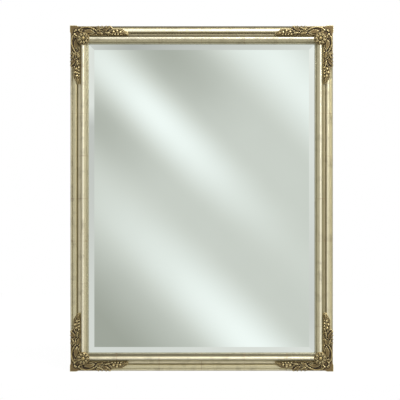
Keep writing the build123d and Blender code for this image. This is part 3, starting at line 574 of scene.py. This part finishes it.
# A leaf has its place along and across, length, width, turn in degrees and rise. One has a deeper groove.
LEAVES = (
    (37.5, 11.8, 21.0, 9.0, 4.0, 2.2, 0.7), (22.5, 8.8, 7.0, 4.0, 30.0, 2.2),
    (54.0, 4.6, 12.0, 6.0, -16.0, 3.0), (61.5, 5.0, 13.0, 5.6, -24.0, 3.4),
    (69.0, 4.2, 12.0, 5.0, -18.0, 3.0), (75.6, 3.4, 9.0, 3.6, -26.0, 2.4),
    (67.5, 9.4, 12.0, 4.6, 10.0, 2.8), (54.0, 14.4, 10.0, 4.6, 22.0, 2.6),
    (60.5, 16.4, 10.0, 4.4, 12.0, 2.4), (67.0, 14.6, 9.0, 4.2, -8.0, 2.8),
    (73.5, 17.0, 10.0, 4.2, 10.0, 2.4), (76.0, 11.8, 9.0, 4.2, 4.0, 2.6),
    (104.5, 14.8, 12.0, 4.8, 16.0, 2.6), (108.5, 17.4, 8.6, 2.8, 6.0, 1.8),
    (99.6, 17.6, 9.0, 3.2, 6.0, 1.8), (89.0, 9.2, 9.0, 2.8, 2.0, 2.2),
)
# A berry and a flower have their place along and across and a radius.
BERRIES = (
    (9.6, 11.6, 2.1), (18.2, 8.8, 1.9), (50.6, 17.6, 1.3), (79.0, 16.4, 1.5), (81.4, 12.4, 1.6),
    (87.6, 17.6, 1.5), (92.6, 17.9, 1.3), (95.6, 13.4, 1.4), (63.8, 12.6, 1.3), (71.0, 13.2, 1.2),
)
FLOWERS = ((84.6, 13.4, 3.4), (91.4, 13.0, 3.3), (98.6, 13.6, 2.9), (57.0, 10.6, 2.2))
LOBED_LENGTH = 9.0
LOBED_WIDTH = 4.2
print(len(SCROLLS), "scrolls,", len(LEAVES), "leaves,", len(BERRIES), "berries and", len(FLOWERS), "flowers")


# %% The foliage of one arm
def arm_foliage():
    """All that lies on one arm; the larger leaves have three lobes."""
    made = [scroll(*curl) for curl in SCROLLS]
    for leaf in LEAVES:
        length, width = leaf[2:4]
        lobed = length >= LOBED_LENGTH and width >= LOBED_WIDTH
        made.extend(lobed_leaf(*leaf) if lobed else [carved_leaf(*leaf)])
    for fruit in BERRIES:
        made.append(berry(*fruit))
    for blossom in FLOWERS:
        made.extend(flower(*blossom))
    return made


def joined(pieces, name):
    """Join pieces into one object and give it a name."""
    bpy.ops.object.select_all(action="DESELECT")
    for piece in pieces:
        piece.select_set(True)
    bpy.context.view_layer.objects.active = pieces[0]
    bpy.ops.object.join()
    whole = bpy.context.view_layer.objects.active
    whole.name = name
    return settle(whole)


def turn_faces_out(piece):
    """Merge points that share a place, and point every face outwards."""
    bpy.ops.object.select_all(action="DESELECT")
    piece.select_set(True)
    bpy.context.view_layer.objects.active = piece
    bpy.ops.object.mode_set(mode="EDIT")
    bpy.ops.mesh.select_all(action="SELECT")
    bpy.ops.mesh.remove_doubles(threshold=0.000001)
    bpy.ops.mesh.normals_make_consistent(inside=False)
    bpy.ops.object.mode_set(mode="OBJECT")


def copied(piece, name, change):
    """A copy with its own mesh, moved by a matrix, with its faces turned out again."""
    twin = piece.copy()
    twin.data = piece.data.copy()
    twin.name = name
    bpy.context.scene.collection.objects.link(twin)
    twin.data.transform(change)
    turn_faces_out(twin)
    return twin


level_arm = joined(arm_foliage(), "level_arm")
# The side arm is the top arm with along and across exchanged about the door's corner.
corner = Matrix.Translation(corner_spot(0, 0, 0))
swap = Matrix(((0, 0, -1, 0), (0, 1, 0, 0), (-1, 0, 0, 0), (0, 0, 0, 1)))
upright_arm = copied(level_arm, "upright_arm", corner @ swap @ corner.inverted())
print("one arm has", len(level_arm.data.polygons), "faces before it is fused")


# %% The shell on the mitre
SHELL_MIDDLE = 25.2
BUD_MIDDLE = 24.8
BUD_HEIGHT = 25.8
# A ring has its number of petals, their reach, length and width, their height off the back and their turn.
RINGS = (
    (11, 8.4, 7.6, 4.8, 21.4, 8.0),
    (8, 5.6, 7.0, 4.6, 23.0, 26.0),
    (5, 3.0, 5.2, 3.8, 24.3, 45.0),
)


def shell():
    """Petals in three rings, longer towards the inner corner, round a bud set off centre."""
    made = []
    for count, reach, length, width, height, first_turn in RINGS:
        for petal in range(count):
            angle = 360 * petal / count + first_turn
            turn = math.radians(angle)
            inward = math.cos(turn - math.radians(45))
            far = reach + 0.9 * inward
            leaf = carved_leaf(SHELL_MIDDLE + far * math.cos(turn), SHELL_MIDDLE + far * math.sin(turn),
                               length * (1 + 0.16 * inward), width, angle, 2.1, 0.75)
            leaf.data.transform(Matrix.Translation((0.0, (PLATE - height) * MM, 0.0)))
            made.append(leaf)
    made.append(berry(BUD_MIDDLE, BUD_MIDDLE, 1.7, BUD_HEIGHT))
    return made


shell_piece = joined(shell(), "shell")
print("the shell has", len(shell_piece.data.polygons), "faces before it is fused")

# %% Fuse the foliage with the measured plate
VOXEL = 0.43 * MM
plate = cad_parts["ornament_top_left"].copy()
plate.data = plate.data.copy()
plate.parent = None
for key in list(plate.keys()):
    del plate[key]
bpy.context.scene.collection.objects.link(plate)
turn_faces_out(plate)
master = joined([plate, level_arm, upright_arm, shell_piece], "ornament_master")
master.data.remesh_voxel_size = VOXEL
master.data.remesh_voxel_adaptivity = 0.0
bpy.ops.object.voxel_remesh()
soften = master.modifiers.new("soften", "SMOOTH")
soften.factor = 0.5
soften.iterations = 2
bpy.ops.object.modifier_apply(modifier=soften.name)
bpy.ops.object.shade_smooth()
print("fused ornament:", len(master.data.polygons), "faces")

# %% [markdown]
# ## Where the glaze gathers
# A glaze is brushed over the whole casting and wiped off, so it stays in the hollows. They could be painted
# by hand, one by one. Measuring them is quicker and misses none: the surface is compared with a smoothed copy
# of itself, and where it lies below the copy there is a hollow, and glaze stays.

# %% Measure the hollows
SMOOTHING_ROUNDS = 26


def read_rows(items, name, width, kind=float):
    """Read a value of every point or edge into the rows of an array."""
    values = np.zeros(len(items) * width, kind)
    items.foreach_get(name, values)
    return values.reshape(-1, width)


def measure_hollows(piece):
    """Store on each point how far it lies below a smoothed copy of the surface, in millimetres."""
    mesh = piece.data
    place = read_rows(mesh.vertices, "co", 3)
    facing = read_rows(mesh.vertices, "normal", 3)
    ends = read_rows(mesh.edges, "vertices", 2, int)
    count = len(place)
    joins = np.bincount(ends.ravel(), minlength=count)[:, None]
    smooth = place.copy()
    for _ in range(SMOOTHING_ROUNDS):
        total = np.zeros_like(smooth)
        for axis in range(3):
            total[:, axis] = (np.bincount(ends[:, 0], smooth[ends[:, 1], axis], count)
                              + np.bincount(ends[:, 1], smooth[ends[:, 0], axis], count))
        smooth = 0.4 * smooth + 0.6 * total / np.maximum(joins, 1)
    depth = ((smooth - place) * facing).sum(1) / MM
    layer = mesh.attributes.new("hollow", "FLOAT", "POINT")
    layer.data.foreach_set("value", depth.astype(np.float32))
    return depth


hollows = measure_hollows(master)
print("hollows from", round(float(hollows.min()), 3), "to", round(float(hollows.max()), 3), "mm")


# %% Antique gold
def antique_gold():
    gold = Finish("antique_gold")
    hollow = Wire(gold, gold.node("ShaderNodeAttribute", {"attribute_name": "hollow"}).outputs["Fac"])
    mottle = gold.noise(160.0, 4.0)
    specks = gold.noise(1300.0, 2.0)
    level = gold.between(0.22, -0.30, hollow + (mottle - 0.5) * 0.22).limited()
    colour = gold.ramp(level, [
        (0.0, tone(38, 27, 10)), (0.2, tone(72, 54, 26)), (0.4, tone(116, 97, 62)),
        (0.62, tone(130, 112, 72)), (0.84, tone(154, 137, 92)), (1.0, tone(216, 200, 150))])
    gold.give("Base Color", gold.blend(gold.between(0.6, 0.75, specks) * 0.35, colour, tone(64, 50, 24)))
    gold.give("Roughness", (0.56 - level * 0.24 + specks * 0.1).limited())
    gold.give("Metallic", (0.35 + level * 0.5).limited())
    gold.bump(mottle * 0.5 + specks * 0.4, 0.2 * MM, 0.5)
    return gold.material


master.data.materials.clear()
master.data.materials.append(antique_gold())
print("glaze and gold laid on", master.name)

# %% Set an ornament on each corner
flip_x = Matrix.Scale(-1, 4, (1, 0, 0))
flip_z = Matrix.Scale(-1, 4, (0, 0, 1))
corners = {
    "ornament_top_right": flip_x,
    "ornament_bottom_left": flip_z,
    "ornament_bottom_right": flip_x @ flip_z,
}
placed = {"ornament_top_left": master}
for node, change in corners.items():
    placed[node] = copied(master, node.replace("ornament", "foliage"), change)
master.name = "foliage_top_left"
for node, piece in placed.items():
    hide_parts(node)
    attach(piece, "door")
    print(piece.name, "stands for", node, "with", len(piece.data.polygons), "faces")

# %% [markdown]
# ## The studio
# The photograph is taken straight on, on pure white. A mirror shows the room behind the camera, so a large
# soft card stands there: grey, with slanting brighter bands, like light on a studio wall. The bevel is tilted
# by several degrees, so it looks past the card and shows the room around it. Streaks painted on the glass
# would be simpler, but they would stay when the door swings.

# %% Camera
PHOTO_WIDTH = 400
PIXEL_SIZE = 1.9214
FRAME_WIDTH = PHOTO_WIDTH * PIXEL_SIZE * MM
PHOTO_MIDDLE_X = -3.25 * MM
PHOTO_MIDDLE_Z = -2.9 * MM
DISTANCE = 2.6
SENSOR_WIDTH = 36.0
camera = bpy.data.objects.new("camera", bpy.data.cameras.new("camera"))
bpy.context.scene.collection.objects.link(camera)
camera.location = (PHOTO_MIDDLE_X, DOOR_BACK - RAIL_DEPTH - DISTANCE, PHOTO_MIDDLE_Z)
camera.rotation_euler = (math.radians(90), 0, 0)
camera.data.sensor_width = SENSOR_WIDTH
camera.data.lens = SENSOR_WIDTH * DISTANCE / FRAME_WIDTH
bpy.context.scene.camera = camera
print("lens", round(camera.data.lens, 1), "mm at", DISTANCE, "m")


# %% Soft lamps
def soft_lamp(name, place, size, power):
    """A large lamp turned towards the middle of the cabinet."""
    lamp = bpy.data.objects.new(name, bpy.data.lights.new(name, "AREA"))
    lamp.data.shape = "RECTANGLE"
    lamp.data.size, lamp.data.size_y = size
    lamp.data.energy = power
    lamp.location = place
    lamp.rotation_euler = (-Vector(place)).to_track_quat("-Z", "Y").to_euler()
    bpy.context.scene.collection.objects.link(lamp)


soft_lamp("key_lamp", (0.7, -1.05, 1.8), (1.4, 1.0), 32.0)
soft_lamp("front_lamp", (1.5, -2.2, 1.05), (0.6, 1.0), 26.0)
print("two lamps, both from above and to the right")

# %% [markdown]
# The room is white where the camera looks, and glass and metal see that white behind the cabinet too. On the
# camera's side it is a grey studio, bright towards the lamps and uneven elsewhere, which gives the gilding
# its light and dark sides. Where the tilted bevel looks it has soft patches, mostly darker above, and
# brighter below and to both sides.

# %% White background, grey room behind the camera
ROOM_LIGHT = 0.36
BEVEL_RISE = 0.37
BEVEL_SWING = 0.36
world = bpy.data.worlds.new("white_room")
bpy.context.scene.world = world
room = Workbench(world, "ShaderNodeOutputWorld", "Generated")
x, y, z = room.axes()
behind = room.between(-0.15, 0.10, y, "SMOOTHSTEP")
towards_lamps = room.between(0.30, 0.95, x * 0.42 - y * 0.25 + z * 0.87, "SMOOTHSTEP")
walls = room.noise(1.3, 1.0, room.stretched(1.6, 1.0, 0.8)) - 0.5
clouds = room.noise(1.0, 1.0, room.stretched(4.5, 1.0, 3.2)) - 0.5
above = room.hump(z, BEVEL_RISE, 0.24) * (0.17 - room.between(-0.05, -0.08, x) * 0.22)
below = room.hump(z, -BEVEL_RISE, 0.24) * 0.24
window_height = room.between(0.054, 0.070, z) * room.between(0.26, 0.16, z)
left_window = room.hump(x, -BEVEL_SWING, 0.14) * window_height * 0.42
right_glow = room.hump(x, BEVEL_SWING, 0.14) * room.hump(z, -0.13, 0.05) * 0.25
patches = below + left_window + right_glow - above
studio = 0.645 + 0.42 * towards_lamps + walls * 0.9 + clouds * 0.4 + patches
glossy = behind + (1 - behind) * studio
seen = room.rays("Is Camera Ray", "Is Transmission Ray")
shiny = room.rays("Is Glossy Ray")
strength = seen + (1 - seen) * (shiny * glossy + (1 - shiny) * ROOM_LIGHT)
room.show(room.node("ShaderNodeBackground", {}, {"Color": (1, 1, 1, 1), "Strength": strength}))
print("white to the camera,", ROOM_LIGHT, "as light")

# %% Pale floor under the lowest point
FLOOR_LEVEL = cad_box[0][2] - MM
floor = fresh(bpy.ops.mesh.primitive_plane_add, size=1.0, location=(0, 0.92, FLOOR_LEVEL))
floor.scale = (3.2, 2.2, 1.0)
floor.name = "floor"
floor_finish = Finish("pale_floor", roughness=0.8)
cloud = floor_finish.noise(3.0, 2.0)
floor_finish.give("Base Color", floor_finish.blend(cloud, tone(252, 252, 252), tone(248, 248, 248)))
to_eye = floor_finish.rays("Is Camera Ray", "Is Transmission Ray")
matt = Wire(floor_finish, floor_finish.shader.outputs[0])
white = Wire(floor_finish, floor_finish.node("ShaderNodeEmission", {}, {"Strength": 1.06}).outputs[0])
floor_finish.show(floor_finish.node("ShaderNodeMixShader", {}, [to_eye * 0.9, matt, white]))
floor.data.materials.append(floor_finish.material)
floor.visible_glossy = False
settle(floor)
print("floor at", round(FLOOR_LEVEL, 4))

# %% [markdown]
# The slanting bands on the card run from upper left to lower right. One amount measures the place across
# the bands and the other the place along them, so each band can fade on its way.

# %% The card that the mirror sees
card = fresh(bpy.ops.mesh.primitive_plane_add, size=1.0, location=(0, -3.5, 0),
             rotation=(math.radians(-90), 0, 0))
card.scale = (1.3, 1.7, 1.0)
card.name = "studio_card"
settle(card)
card.visible_camera = False
card_finish = Finish("card_light")
x, y, z = card_finish.axes()
over = x + z
down = x - z
hump = card_finish.hump
first_band = hump(over, 0.175, 0.24) * (hump(down, -0.55, 1.25) * 0.46 + 0.06)
second_band = hump(over, -0.43, 0.30) * (card_finish.between(-0.7, 0.75, down) * 0.46 + 0.05)
third_band = hump(over, 0.96, 0.34) * 0.42
bright = first_band + second_band + third_band
low_corner = card_finish.between(-0.48, -1.05, over, "SMOOTHSTEP") * 0.45
high_middle = hump(over, 0.52, 0.34) * hump(down, -0.85, 0.8) * 0.34
left_side = hump(over, -0.12, 0.28) * hump(down, -0.85, 0.7) * 0.26
cloud = (card_finish.noise(2.2, 2.0) - 0.5) * 0.12
level = (0.44 + bright - low_corner - high_middle - left_side + cloud).limited()
shade = card_finish.ramp(level, [
    (0.0, tone(163, 165, 159)), (0.5, tone(210, 212, 210)), (1.0, tone(248, 252, 255))])
card_finish.show(card_finish.node("ShaderNodeEmission", {}, {"Color": shade, "Strength": 1.05}))
card.data.materials.append(card_finish.material)
print("card placed behind the camera")

# %% View
bpy.context.scene.view_settings.view_transform = "Standard"
